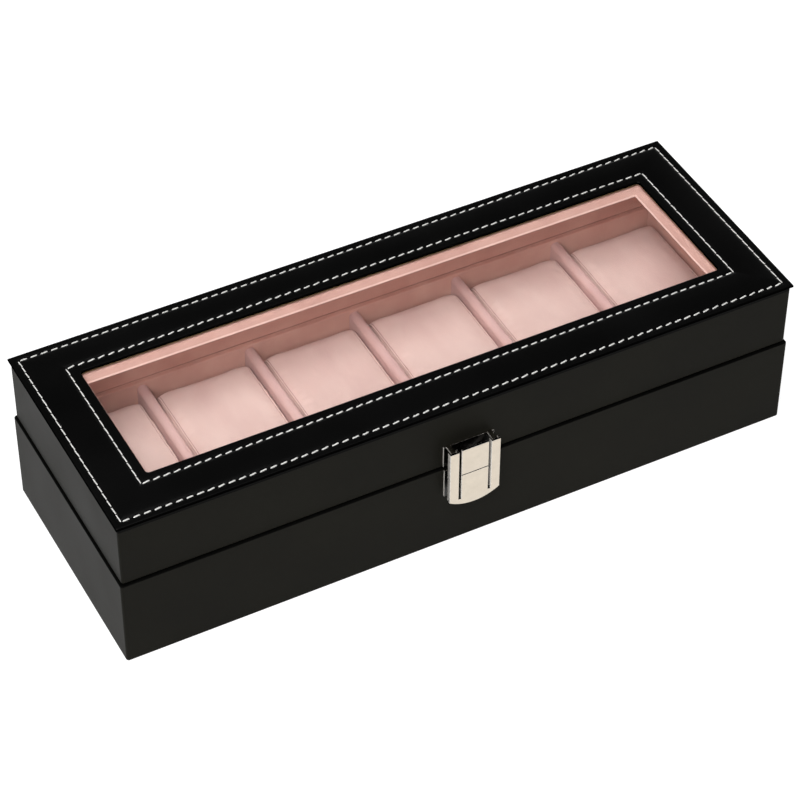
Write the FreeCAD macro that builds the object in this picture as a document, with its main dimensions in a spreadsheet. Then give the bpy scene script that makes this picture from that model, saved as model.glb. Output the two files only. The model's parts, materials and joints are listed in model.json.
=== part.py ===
"""Watch box: a leather-covered base with six cushioned compartments under a hinged lid with a window."""
import FreeCAD, Part
import os

import Sketcher

COMPARTMENTS = 6

# Driving dimensions in millimetres, and one angle in degrees
SIZES = {
    # Base shell
    "base_length": 304.0,
    "base_depth": 108.0,
    "base_height": 42.6,
    "felt_thick": 0.4,
    "felt_inset": 3.0,
    "leather_thick": 0.6,
    "base_wall": 4.0,
    "floor_thick": 3.0,
    "base_lining": 2.6,
    "pad_thick": 1.2,
    "divider_thick": 4.5,
    "divider_drop": 1.1,
    "divider_round": 2.0,
    "corner_round": 1.2,
    "edge_round": 0.5,
    # Lid shell
    "seam_gap": 0.6,
    "lid_inset": 0.9,
    "lid_height": 29.9,
    "lid_wall": 3.0,
    "lid_lining": 0.5,
    "rail_thick": 4.3,
    # Stitched top panel and window
    "panel_thick": 1.2,
    "panel_overhang": 0.7,
    "panel_round": 0.4,
    "window_border": 22.8,
    "window_back_border": 20.4,
    "window_right_border": 21.9,
    "window_round": 1.2,
    "glass_thick": 2.0,
    "glass_cover": 3.4,
    "glass_clear": 0.3,
    "trim_lip": 3.0,
    "trim_left_lip": 1.2,
    "trim_thick": 3.4,
    "trim_flange": 0.4,
    "stitch_outer": 3.4,
    "stitch_inner": 4.3,
    "thread_width": 0.8,
    "thread_sunk": 0.25,
    "thread_rise": 0.25,
    # Cushions
    "cushion_side_clear": 0.45,
    "cushion_end_clear": 2.8,
    "cushion_floor_clear": 0.3,
    "cushion_height": 34.4,
    "cushion_round": 7.0,
    "cushion_crown": 1.2,
    "cushion_draw": 2.4,
    "cushion_waist": 0.8,
    # Hinges
    "hinge_inset": 57.0,
    "hinge_length": 30.0,
    "lid_knuckle": 10.0,
    "leaf_thick": 1.0,
    "leaf_gap": 0.1,
    "leaf_reach": 4.2,
    "barrel_radius": 2.0,
    "barrel_standoff": 2.2,
    "hinge_pin_radius": 1.0,
    "running_clear": 0.05,
    "knuckle_gap": 0.2,
    "stop_angle": 96.0,
    "stop_length": 2.6,
    "stop_thick": 1.0,
    "mortise_clear": 0.1,
    "screw_pitch": 20.0,
    "screw_radius": 0.8,
    "screw_head_radius": 1.4,
    "screw_head_height": 0.6,
    "screw_length": 8.0,
    "screw_clear": 0.05,
    # Latch, with heights from the base rim and stand-offs from the base front
    "latch_width": 22.8,
    "plate_thick": 0.8,
    "plate_drop": 14.8,
    "plate_seam": 0.4,
    "flap_drop": 14.6,
    "flap_rise": 12.0,
    "flap_sag": 3.5,
    "flap_standoff": 5.7,
    "flap_thick": 0.9,
    "rail_width": 4.1,
    "rail_depth": 2.2,
    "rail_wall": 0.7,
    "slot_width": 1.2,
    "slot_foot": 0.4,
    "tongue_rise": 0.5,
    "crease_drop": 1.0,
    "crease_width": 0.5,
    "crease_depth": 0.25,
    "pivot_drop": 2.6,
    "pivot_standoff": 2.6,
    "latch_pin_radius": 0.7,
    "lug_half": 1.4,
    "lug_thick": 0.8,
    "lug_gap": 0.3,
    "nib_width": 1.3,
    "nib_height": 0.8,
    "nib_length": 0.4,
    "nib_drop": 1.7,
    "nib_clear": 0.2,
    "strike_rise": 11.8,
    "prong_width": 1.9,
    "prong_thick": 0.8,
    "prong_length": 4.9,
    "notch_depth": 0.4,
    "notch_clear": 0.2,
    "nail_radius": 0.6,
    "nail_head_radius": 1.1,
    "nail_head_height": 0.4,
    "nail_length": 3.4,
    "nail_spread": 10.0,
    "plate_nail_drop": 12.0,
    "strike_nail_rise": 6.4,
    "spring_width": 6.0,
    "spring_thick": 0.4,
    "spring_top_drop": 4.6,
    "spring_rivet_drop": 6.4,
    "spring_bend_drop": 8.2,
    "spring_tip_drop": 12.6,
    "spring_clear": 0.1,
}

doc = FreeCAD.newDocument("watch_box")
sheet = doc.addObject("Spreadsheet::Sheet", "dims")
for row, (alias, size) in enumerate(SIZES.items(), 1):
    sheet.set(f"A{row}", alias)
    sheet.set(f"B{row}", str(size))
    sheet.setAlias(f"B{row}", alias)
doc.recompute()

nodes = []

# Half sizes and levels of the base, from the middle of the footprint and the ground
BASE_X = "(dims.base_length / 2)"
BASE_Y = "(dims.base_depth / 2)"
RIM = "dims.base_height"
BOARD_X = f"({BASE_X} - dims.leather_thick)"
BOARD_Y = f"({BASE_Y} - dims.leather_thick)"
WALL_X = f"({BOARD_X} - dims.base_wall)"
WALL_Y = f"({BOARD_Y} - dims.base_wall)"
ROOM_X = f"({WALL_X} - dims.base_lining)"
ROOM_Y = f"({WALL_Y} - dims.base_lining)"
BOARD_FOOT = "(dims.felt_thick + dims.leather_thick)"
BOARD_TOP = f"({RIM} - dims.leather_thick)"
FLOOR_TOP = f"({BOARD_FOOT} + dims.floor_thick)"
PAD_TOP = f"({FLOOR_TOP} + dims.pad_thick)"
BAY = f"((2 * {ROOM_X} - {COMPARTMENTS - 1} * dims.divider_thick) / {COMPARTMENTS})"
PITCH = f"({BAY} + dims.divider_thick)"

# Half sizes and levels of the lid
LID_X = f"({BASE_X} - dims.lid_inset)"
LID_Y = f"({BASE_Y} - dims.lid_inset)"
LID_BOARD_X = f"({LID_X} - dims.leather_thick)"
LID_BOARD_Y = f"({LID_Y} - dims.leather_thick)"
LID_WALL_X = f"({LID_BOARD_X} - dims.lid_wall)"
LID_WALL_Y = f"({LID_BOARD_Y} - dims.lid_wall)"
LID_ROOM_X = f"({LID_WALL_X} - dims.lid_lining)"
LID_ROOM_Y = f"({LID_WALL_Y} - dims.lid_lining)"
LID_FOOT = f"({RIM} + dims.seam_gap)"
LID_BOARD_FOOT = f"({LID_FOOT} + dims.leather_thick)"
LID_TOP = f"({LID_FOOT} + dims.lid_height)"
RAIL_FOOT = f"({LID_TOP} - dims.rail_thick)"
GLASS_FOOT = f"({LID_TOP} - dims.glass_thick)"
PANEL_TOP = f"({LID_TOP} + dims.panel_thick)"
PANEL_X = f"({LID_X} + dims.panel_overhang)"
PANEL_Y = f"({LID_Y} + dims.panel_overhang)"
WINDOW_X = f"({PANEL_X} - (dims.window_border + dims.window_right_border) / 2)"
WINDOW_Y = f"({PANEL_Y} - (dims.window_border + dims.window_back_border) / 2)"
WINDOW_MIDDLE_X = "((dims.window_border - dims.window_right_border) / 2)"
WINDOW_MIDDLE_Y = "((dims.window_border - dims.window_back_border) / 2)"
GLASS_X = f"({WINDOW_X} + dims.glass_cover)"
GLASS_Y = f"({WINDOW_Y} + dims.glass_cover)"
TRIM_X = f"({WINDOW_X} - dims.trim_lip)"
TRIM_Y = f"({WINDOW_Y} - dims.trim_lip)"
RAIL_X = f"({TRIM_X} + dims.trim_thick)"
RAIL_Y = f"({TRIM_Y} + dims.trim_thick)"

# Hinge axis and leaf levels
AXIS_Y = f"({BASE_Y} + dims.barrel_standoff)"
AXIS_Z = f"({RIM} + dims.seam_gap / 2)"
BASE_LEAF_TOP = f"({AXIS_Z} - dims.leaf_gap / 2)"
BASE_LEAF_FOOT = f"({BASE_LEAF_TOP} - dims.leaf_thick)"
LID_LEAF_FOOT = f"({AXIS_Z} + dims.leaf_gap / 2)"
LID_LEAF_TOP = f"({LID_LEAF_FOOT} + dims.leaf_thick)"
LEAF_Y = f"({BASE_Y} - dims.leaf_reach)"
BASE_SCREW_Y = f"({BOARD_Y} - dims.base_wall / 2)"
LID_SCREW_Y = f"({LID_BOARD_Y} - dims.lid_wall / 2)"

# Latch levels, and stand-offs from the base front
LATCH_X = "(dims.latch_width / 2)"
FLAP_SIDE_FOOT = f"({RIM} - dims.flap_drop)"
FLAP_FOOT = f"({FLAP_SIDE_FOOT} - dims.flap_sag)"
FLAP_TOP = f"({RIM} + dims.flap_rise)"
SLOT_FOOT = f"({FLAP_SIDE_FOOT} + dims.slot_foot)"
CREASE = f"({RIM} - dims.crease_drop)"
PIVOT = f"({RIM} - dims.pivot_drop)"
SHEET_BACK = "(dims.flap_standoff - dims.flap_thick)"
RAIL_BACK = "(dims.flap_standoff - dims.rail_depth)"
RAIL_INNER = f"({LATCH_X} - dims.rail_width)"
TONGUE_X = f"({RAIL_INNER} - dims.slot_width)"
LUG_X = f"({RAIL_INNER} + dims.rail_wall + dims.lug_gap)"
PLATE_FOOT = f"({RIM} - dims.plate_drop)"
PLATE_TOP = f"({RIM} - dims.plate_seam)"
STRIKE_FOOT = f"({LID_FOOT} + dims.plate_seam)"
STRIKE_TOP = f"({RIM} + dims.strike_rise)"
STRIKE_FACE = "(dims.plate_thick - dims.lid_inset)"
NIB_TIP = f"({SHEET_BACK} - dims.nib_length)"
NIB_TOP = f"({FLAP_TOP} - dims.nib_drop)"
NIB_FOOT = f"({NIB_TOP} - dims.nib_height)"
PRONG_FACE = f"({NIB_TIP} - dims.nib_clear)"
PRONG_MIDDLE = f"(({RAIL_INNER} + {LATCH_X}) / 2)"
PRONG_FOOT = f"({STRIKE_TOP} - dims.prong_length)"


def number(expression):
    """The plain number that an expression of the sheet gives."""
    return float(sheet.evalExpression(expression))


def both(half):
    """A span that runs the same way to both sides of the middle."""
    return f"-{half}", half


def side_span(sign, inner, outer):
    """A span between two distances from the middle, on the side that the sign names."""
    if sign > 0:
        return inner, outer
    return f"-{outer}", f"-{inner}"


def window_span(half_x, half_y):
    """Two spans that run the same way to both sides of the window's middle."""
    return [(f"({middle} - {half})", f"({middle} + {half})")
            for middle, half in ((WINDOW_MIDDLE_X, half_x), (WINDOW_MIDDLE_Y, half_y))]


def beside(sign, span, outer):
    """The span from one end of another, on the side that the sign names, to a distance from the middle."""
    if sign > 0:
        return span[1], outer
    return f"-{outer}", span[0]


def finish(item):
    """Add an object to the pieces that are written out."""
    nodes.append(item)
    return item


def block(name, x, y, z):
    """A box between two expressions along each axis."""
    item = doc.addObject("Part::Box", name)
    for size, axis, (low, high) in zip(("Length", "Width", "Height"), "xyz", (x, y, z)):
        item.setExpression(size, f"{high} - ({low})")
        item.setExpression(f"Placement.Base.{axis}", low)
    return item


TURNS = {
    "x": FreeCAD.Rotation(FreeCAD.Vector(0, 1, 0), 90),
    "y": FreeCAD.Rotation(FreeCAD.Vector(1, 0, 0), -90),
    "z": FreeCAD.Rotation(),
}


def place(item, axis, start):
    """Stand an object on a point given by three expressions, with its own Z along an axis."""
    item.Placement = FreeCAD.Placement(FreeCAD.Vector(), TURNS[axis])
    for letter, expression in zip("xyz", start):
        item.setExpression(f"Placement.Base.{letter}", expression)


def rod(name, axis, start, length, radius):
    """A cylinder along an axis."""
    item = doc.addObject("Part::Cylinder", name)
    place(item, axis, start)
    item.setExpression("Height", length)
    item.setExpression("Radius", radius)
    return item


def cone(name, start, height, low_radius, high_radius):
    """A cone that stands upright on a point."""
    item = doc.addObject("Part::Cone", name)
    place(item, "z", start)
    item.setExpression("Height", height)
    item.setExpression("Radius1", low_radius)
    item.setExpression("Radius2", high_radius)
    return item


def fuse(name, items):
    """Several objects as one solid."""
    item = doc.addObject("Part::MultiFuse", name)
    item.Shapes = items
    return item


def cut(name, base, tools):
    """An object less several tools."""
    item = doc.addObject("Part::Cut", name)
    item.Base = base
    item.Tool = tools[0] if len(tools) == 1 else fuse(f"{name}_tools", tools)
    return item


def group(name, items):
    """Separate solids that share one name."""
    item = doc.addObject("Part::Compound", name)
    item.Links = items
    return item


def new_sketch(body, name, role, offset):
    """A sketch on one of the body's own planes, moved along the plane's normal."""
    sketch = body.newObject("Sketcher::SketchObject", name)
    plane = [item for item in body.Origin.OriginFeatures if item.Role == role][0]
    sketch.AttachmentSupport = [(plane, "")]
    sketch.MapMode = "FlatFace"
    sketch.setExpression("AttachmentOffset.Base.z", offset)
    return sketch


def pin_point(sketch, name, geometry, end, across, up):
    """Fix one end of a sketch line at two distances from the sketch's origin."""
    for kind, letter, expression in (("DistanceX", "x", across), ("DistanceY", "y", up)):
        index = sketch.addConstraint(Sketcher.Constraint(kind, -1, 1, geometry, end, number(expression)))
        sketch.renameConstraint(index, f"{name}_{letter}")
        sketch.setExpression(f"Constraints.{name}_{letter}", expression)


def polygon(sketch, name, points):
    """A closed outline of straight lines through points, each a pair of expressions."""
    first = sketch.GeometryCount
    corners = [FreeCAD.Vector(number(across), number(up), 0) for across, up in points]
    count = len(points)
    for index in range(count):
        sketch.addGeometry(Part.LineSegment(corners[index], corners[(index + 1) % count]))
    for index in range(count):
        following = first + (index + 1) % count
        sketch.addConstraint(Sketcher.Constraint("Coincident", first + index, 2, following, 1))
    for index, (across, up) in enumerate(points):
        pin_point(sketch, f"{name}{index}", first + index, 1, across, up)


def rectangle(sketch, name, across, up):
    """A closed rectangle between two expressions each way."""
    corners = ((across[0], up[0]), (across[1], up[0]), (across[1], up[1]), (across[0], up[1]))
    polygon(sketch, name, corners)


def circle(sketch, name, across, up, radius):
    """A circle at two distances from the sketch's origin."""
    centre = FreeCAD.Vector(number(across), number(up), 0)
    index = sketch.addGeometry(Part.Circle(centre, FreeCAD.Vector(0, 0, 1), number(radius)))
    pin_point(sketch, name, index, 3, across, up)
    constraint = sketch.addConstraint(Sketcher.Constraint("Radius", index, number(radius)))
    sketch.renameConstraint(constraint, f"{name}_radius")
    sketch.setExpression(f"Constraints.{name}_radius", radius)


def rounded_rectangle(sketch, across, up, radius):
    """A rectangle whose four corners are quarter circles."""
    left, right = (number(value) for value in across)
    foot, top = (number(value) for value in up)
    bend = number(radius)
    middles = ((right - bend, foot + bend), (right - bend, top - bend), (left + bend, top - bend),
               (left + bend, foot + bend))
    runs = (((left + bend, foot), (right - bend, foot)), ((right, foot + bend), (right, top - bend)),
            ((right - bend, top), (left + bend, top)), ((left, top - bend), (left, foot + bend)))
    quarter = Part.Circle().LastParameter / 4
    for index in range(4):
        start, end = (FreeCAD.Vector(*point, 0) for point in runs[index])
        sketch.addGeometry(Part.LineSegment(start, end))
        centre = FreeCAD.Vector(*middles[index], 0)
        corner = Part.Circle(centre, FreeCAD.Vector(0, 0, 1), bend)
        sketch.addGeometry(Part.ArcOfCircle(corner, (index - 1) * quarter, index * quarter))
    for index in range(4):
        line = 2 * index
        arc = line + 1
        sketch.addConstraint(Sketcher.Constraint("Tangent", line, 2, arc, 1))
        sketch.addConstraint(Sketcher.Constraint("Tangent", arc, 2, (line + 2) % 8, 1))
        sketch.addConstraint(Sketcher.Constraint("Vertical" if index % 2 else "Horizontal", line))
    for arc in (3, 5, 7):
        sketch.addConstraint(Sketcher.Constraint("Equal", 1, arc))
    bounds = (("foot", "DistanceY", 0, up[0]), ("right", "DistanceX", 2, across[1]),
              ("top", "DistanceY", 4, up[1]), ("left", "DistanceX", 6, across[0]))
    for name, kind, line, expression in bounds:
        index = sketch.addConstraint(Sketcher.Constraint(kind, -1, 1, line, 1, number(expression)))
        sketch.renameConstraint(index, name)
        sketch.setExpression(f"Constraints.{name}", expression)
    index = sketch.addConstraint(Sketcher.Constraint("Radius", 1, bend))
    sketch.renameConstraint(index, "bend")
    sketch.setExpression("Constraints.bend", radius)


def pad(body, name, sketch, length, symmetric=False):
    """Add a sketch's outline to the body, along the sketch's normal or to both sides of it."""
    feature = body.newObject("PartDesign::Pad", name)
    feature.Profile = sketch
    feature.setExpression("Length", length)
    feature.SideType = "Symmetric" if symmetric else "One side"
    return feature


def pocket_through(body, name, sketch):
    """Cut a sketch's outline right through the body, to both sides of the sketch."""
    feature = body.newObject("PartDesign::Pocket", name)
    feature.Profile = sketch
    feature.SideType = "Symmetric"
    feature.Type = "ThroughAll"
    return feature


def fillet(body, name, base, chosen, radius):
    """Round those edges of a feature that a test picks."""
    doc.recompute()
    edges = [f"Edge{index}" for index, edge in enumerate(base.Shape.Edges, 1) if chosen(edge.BoundBox)]
    feature = body.newObject("PartDesign::Fillet", name)
    feature.Base = (base, edges)
    feature.setExpression("Radius", radius)
    return feature


TOUCH = 1e-4


def upright(box):
    """True for an edge that runs straight up."""
    return max(box.XLength, box.YLength) < TOUCH


def rounded_block(name, x, y, z, corner, top=None, foot=None):
    """A box with rounded upright corners and, where given, rounded top and foot edges."""
    body = doc.addObject("PartDesign::Body", name)
    outline = new_sketch(body, f"{name}_outline", "XY_Plane", z[0])
    rectangle(outline, "corner", x, y)
    solid = pad(body, f"{name}_pad", outline, f"{z[1]} - ({z[0]})")
    solid = fillet(body, f"{name}_corners", solid, upright, corner)
    for label, level, radius in (("top", z[1], top), ("foot", z[0], foot)):
        if radius:
            height = number(level)
            at_level = lambda box: box.ZLength < TOUCH and abs(box.ZMin - height) < TOUCH
            solid = fillet(body, f"{name}_{label}", solid, at_level, radius)
    return body


def screw(name, x, y, seat, points_up, clear="0"):
    """A countersunk screw whose head lies flush with its seat, or, with a clearance, the hole for one."""
    shank_radius = f"(dims.screw_radius + {clear})"
    head_radius = f"(dims.screw_head_radius + {clear})"
    shank = "(dims.screw_length - dims.screw_head_height)"
    if points_up:
        head = cone(f"{name}_head", (x, y, seat), "dims.screw_head_height", head_radius, shank_radius)
        stem_foot = f"{seat} + dims.screw_head_height"
    else:
        foot = f"{seat} - dims.screw_head_height"
        head = cone(f"{name}_head", (x, y, foot), "dims.screw_head_height", shank_radius, head_radius)
        stem_foot = f"{seat} - dims.screw_length"
    stem = rod(f"{name}_stem", "z", (x, y, stem_foot), shank, shank_radius)
    return fuse(name, [head, stem])


def nail(name, x, z, standoff, length):
    """A flat-headed nail driven backwards, the underside of its head at a stand-off from the base front."""
    head_y = f"-{BASE_Y} - {standoff} - dims.nail_head_height"
    head = rod(f"{name}_head", "y", (x, head_y, z), "dims.nail_head_height", "dims.nail_head_radius")
    stem = rod(f"{name}_stem", "y", (x, f"-{BASE_Y} - {standoff}", z), length, "dims.nail_radius")
    return fuse(name, [head, stem])


def nail_hole(name, x, z):
    """The hole for a nail, right through plate, leather and board, as long as two nails."""
    start = f"-{BASE_Y} - dims.flap_standoff"
    return rod(name, "y", (x, start, z), "dims.flap_standoff + 2 * dims.nail_length", "dims.nail_radius")


# Places that the hinges and the latch cut from boards and leather
SIDES = (("left", -1), ("right", 1))
hinge_middle = {side: f"({sign} * ({BASE_X} - dims.hinge_inset))" for side, sign in SIDES}
mortises = []
base_screws = []
lid_screws = []
base_screw_holes = []
lid_screw_holes = []
for side, sign in SIDES:
    half = "(dims.hinge_length / 2 + dims.mortise_clear)"
    reach = (f"{hinge_middle[side]} - {half}", f"{hinge_middle[side]} + {half}")
    depth = (f"{LEAF_Y} - dims.mortise_clear", AXIS_Y)
    mortises.append(block(f"{side}_mortise", reach, depth, (BASE_LEAF_FOOT, LID_LEAF_TOP)))
    for place_name, way in (("inner", -sign), ("outer", sign)):
        x = f"{hinge_middle[side]} + {way} * dims.screw_pitch / 2"
        name = f"{side}_{place_name}"
        base_screws.append(screw(f"{name}_base_screw", x, BASE_SCREW_Y, BASE_LEAF_TOP, False))
        lid_screws.append(screw(f"{name}_lid_screw", x, LID_SCREW_Y, LID_LEAF_FOOT, True))
        hole = screw(f"{name}_base_hole", x, BASE_SCREW_Y, BASE_LEAF_TOP, False, "dims.screw_clear")
        base_screw_holes.append(hole)
        hole = screw(f"{name}_lid_hole", x, LID_SCREW_Y, LID_LEAF_FOOT, True, "dims.screw_clear")
        lid_screw_holes.append(hole)

PLATE_NAILS = (("left", "-dims.nail_spread / 2"), ("right", "dims.nail_spread / 2"))
PLATE_NAIL_Z = f"({RIM} - dims.plate_nail_drop)"
RIVET_Z = f"({RIM} - dims.spring_rivet_drop)"
STRIKE_NAIL_Z = f"({RIM} + dims.strike_nail_rise)"
plate_holes = [nail_hole(f"{side}_plate_hole", x, PLATE_NAIL_Z) for side, x in PLATE_NAILS]
rivet_hole = nail_hole("spring_rivet_hole", "0", RIVET_Z)
strike_holes = [nail_hole(f"{side}_strike_hole", x, STRIKE_NAIL_Z) for side, x in PLATE_NAILS]

# Boards of the base
board_z = (BOARD_FOOT, BOARD_TOP)
front_board = block("base_front_blank", both(BOARD_X), side_span(-1, WALL_Y, BOARD_Y), board_z)
finish(cut("base_front_board", front_board, plate_holes + [rivet_hole]))
back_board = block("base_back_blank", both(BOARD_X), side_span(1, WALL_Y, BOARD_Y), board_z)
finish(cut("base_back_board", back_board, mortises + base_screw_holes))
for side, sign in SIDES:
    finish(block(f"base_{side}_board", side_span(sign, WALL_X, BOARD_X), both(WALL_Y), board_z))
finish(block("base_floor_board", both(WALL_X), both(WALL_Y), (BOARD_FOOT, FLOOR_TOP)))

# Leather round the base, turned in over the rim, and the felt under it
base_skin = rounded_block("base_skin", both(BASE_X), both(BASE_Y), ("dims.felt_thick", RIM),
                          "dims.corner_round", "dims.edge_round", "dims.edge_round")
base_core = block("base_core", both(BOARD_X), both(BOARD_Y), board_z)
base_mouth = block("base_mouth", both(WALL_X), both(WALL_Y), (FLOOR_TOP, LID_FOOT))
base_cuts = [base_core, base_mouth, rivet_hole] + mortises + plate_holes
finish(cut("base_leather", base_skin, base_cuts))
felt_half = [f"({half} - dims.felt_inset)" for half in (BASE_X, BASE_Y)]
finish(block("base_felt", both(felt_half[0]), both(felt_half[1]), ("0", "dims.felt_thick")))

# Velvet lining boards, floor pad and dividers
lining_z = (FLOOR_TOP, RIM)
for side, sign in (("front", -1), ("back", 1)):
    finish(block(f"base_{side}_lining", both(WALL_X), side_span(sign, ROOM_Y, WALL_Y), lining_z))
for side, sign in SIDES:
    finish(block(f"base_{side}_lining", side_span(sign, ROOM_X, WALL_X), both(ROOM_Y), lining_z))
finish(block("floor_pad", both(ROOM_X), both(ROOM_Y), (FLOOR_TOP, PAD_TOP)))


def divider(index):
    """An upright velvet board between two compartments, with its top edges rounded."""
    name = f"divider_{index}"
    middle = f"({index - COMPARTMENTS / 2} * {PITCH})"
    top = f"({RIM} - dims.divider_drop)"
    body = doc.addObject("PartDesign::Body", name)
    outline = new_sketch(body, f"{name}_outline", "XY_Plane", PAD_TOP)
    half = "dims.divider_thick / 2"
    rectangle(outline, "corner", (f"{middle} - {half}", f"{middle} + {half}"), both(ROOM_Y))
    solid = pad(body, f"{name}_pad", outline, f"{top} - {PAD_TOP}")
    top_level = number(top)
    long_top = lambda box: box.ZMin > top_level - TOUCH and box.XLength < TOUCH
    fillet(body, f"{name}_top", solid, long_top, "dims.divider_round")
    return body


for index in range(1, COMPARTMENTS):
    finish(divider(index))


# Where the cushion's cross-sections stand, as shares of the way from its middle to its sewn ends
CUSHION_RINGS = (-1, -0.85, -0.55, 0, 0.55, 0.85, 1)


def cushion(index):
    """A stuffed cushion, crowned in the middle and drawn in at its two sewn ends and along its flanks."""
    name = f"cushion_{index}"
    middle = f"({index - (COMPARTMENTS + 1) / 2} * {PITCH})"
    half_x = f"({BAY} / 2 - dims.cushion_side_clear)"
    half_y = f"({ROOM_Y} - dims.cushion_end_clear)"
    foot = f"({PAD_TOP} + dims.cushion_floor_clear)"
    crown = f"({foot} + dims.cushion_height)"
    body = doc.addObject("PartDesign::Body", name)
    rings = []
    for count, share in enumerate(CUSHION_RINGS):
        tuck = f"(dims.cushion_draw * {share ** 4})"
        reach = f"({half_y} - dims.cushion_waist * {1 - share ** 2} - {tuck})"
        top = f"({crown} - dims.cushion_crown * {share ** 2} - {tuck})"
        ring = new_sketch(body, f"{name}_ring{count}", "YZ_Plane", f"{middle} + {share} * {half_x}")
        corner = f"(dims.cushion_round - {tuck} / 2)"
        rounded_rectangle(ring, both(reach), (f"({foot} + {tuck})", top), corner)
        rings.append(ring)
    doc.recompute()
    loft = body.newObject("PartDesign::AdditiveLoft", f"{name}_loft")
    loft.Profile = rings[0]
    loft.Sections = rings[1:]
    return body


for index in range(1, COMPARTMENTS + 1):
    finish(cushion(index))

# Boards and top rails of the lid
lid_board_z = (LID_BOARD_FOOT, RAIL_FOOT)
front_span = side_span(-1, LID_WALL_Y, LID_BOARD_Y)
front_board = block("lid_front_blank", both(LID_BOARD_X), front_span, lid_board_z)
finish(cut("lid_front_board", front_board, strike_holes))
back_span = side_span(1, LID_WALL_Y, LID_BOARD_Y)
back_board = block("lid_back_blank", both(LID_BOARD_X), back_span, lid_board_z)
finish(cut("lid_back_board", back_board, mortises + lid_screw_holes))
for side, sign in SIDES:
    side_reach = side_span(sign, LID_WALL_X, LID_BOARD_X)
    finish(block(f"lid_{side}_board", side_reach, both(LID_WALL_Y), lid_board_z))
seat_half = [f"({half} + dims.glass_clear)" for half in (GLASS_X, GLASS_Y)]
glass_seat = block("glass_seat", *window_span(*seat_half), (GLASS_FOOT, LID_TOP))
rail_z = (RAIL_FOOT, LID_TOP)
mouth_x, mouth_y = window_span(RAIL_X, RAIL_Y)
for side, sign in (("front", -1), ("back", 1)):
    blank = block(f"top_{side}_blank", both(LID_BOARD_X), beside(sign, mouth_y, LID_BOARD_Y), rail_z)
    finish(cut(f"top_{side}_rail", blank, [glass_seat]))
for side, sign in SIDES:
    blank = block(f"top_{side}_blank", beside(sign, mouth_x, LID_BOARD_X), mouth_y, rail_z)
    finish(cut(f"top_{side}_rail", blank, [glass_seat]))

# Leather round the lid, turned in under its walls, and the velvet inside it
lid_skin = rounded_block("lid_skin", both(LID_X), both(LID_Y), (LID_FOOT, LID_TOP), "dims.corner_round", None,
                         "dims.edge_round")
lid_core = block("lid_core", both(LID_BOARD_X), both(LID_BOARD_Y), (LID_BOARD_FOOT, PANEL_TOP))
lid_mouth = block("lid_mouth", both(LID_WALL_X), both(LID_WALL_Y), (RIM, LID_TOP))
finish(cut("lid_leather", lid_skin, [lid_core, lid_mouth] + mortises + strike_holes))
lining_blank = block("lid_lining_blank", both(LID_WALL_X), both(LID_WALL_Y), (LID_FOOT, RAIL_FOOT))
lining_room = block("lid_lining_room", both(LID_ROOM_X), both(LID_ROOM_Y), (RIM, LID_TOP))
finish(cut("lid_lining", lining_blank, [lining_room]))

# Window: velvet trim under the glass, the glass, and the stitched panel over its edge
trim_foot = f"({RAIL_FOOT} - dims.trim_flange)"
trim_strip = block("trim_strip", mouth_x, mouth_y, (trim_foot, GLASS_FOOT))
trim_plate = block("trim_plate", both(LID_ROOM_X), both(LID_ROOM_Y), (trim_foot, RAIL_FOOT))
hole_x, hole_y = window_span(TRIM_X, TRIM_Y)
hole_left = f"({hole_x[0]} - dims.trim_lip + dims.trim_left_lip)"
trim_hole = block("trim_hole", (hole_left, hole_x[1]), hole_y, (RIM, LID_TOP))
finish(cut("window_trim", fuse("trim_blank", [trim_strip, trim_plate]), [trim_hole]))
finish(block("window_glass", *window_span(GLASS_X, GLASS_Y), (GLASS_FOOT, LID_TOP)))

panel_blank = rounded_block("panel_blank", both(PANEL_X), both(PANEL_Y), (LID_TOP, PANEL_TOP),
                            "dims.panel_round", "dims.panel_round")
window_z = (GLASS_FOOT, f"{PANEL_TOP} + dims.panel_thick")
window_hole = rounded_block("window_hole", *window_span(WINDOW_X, WINDOW_Y), window_z, "dims.window_round")
thread_z = (f"{PANEL_TOP} - dims.thread_sunk", f"{PANEL_TOP} + dims.thread_rise")


def stitch_row(name, x, y):
    """A thread laid on the panel in a rectangle between two spans, half sunk into it."""
    reach = "dims.thread_width / 2"
    wide = [(f"{low} - {reach}", f"{high} + {reach}") for low, high in (x, y)]
    narrow = [(f"{low} + {reach}", f"{high} - {reach}") for low, high in (x, y)]
    outer = block(f"{name}_outer", *wide, thread_z)
    return finish(cut(name, outer, [block(f"{name}_inner", *narrow, thread_z)]))


outer_row = stitch_row("outer_stitching", both(f"({PANEL_X} - dims.stitch_outer)"),
                       both(f"({PANEL_Y} - dims.stitch_outer)"))
inner_row = stitch_row("inner_stitching", *window_span(f"({WINDOW_X} + dims.stitch_inner)",
                                                       f"({WINDOW_Y} + dims.stitch_inner)"))
finish(cut("top_panel", panel_blank, [window_hole, outer_row, inner_row]))


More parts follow.
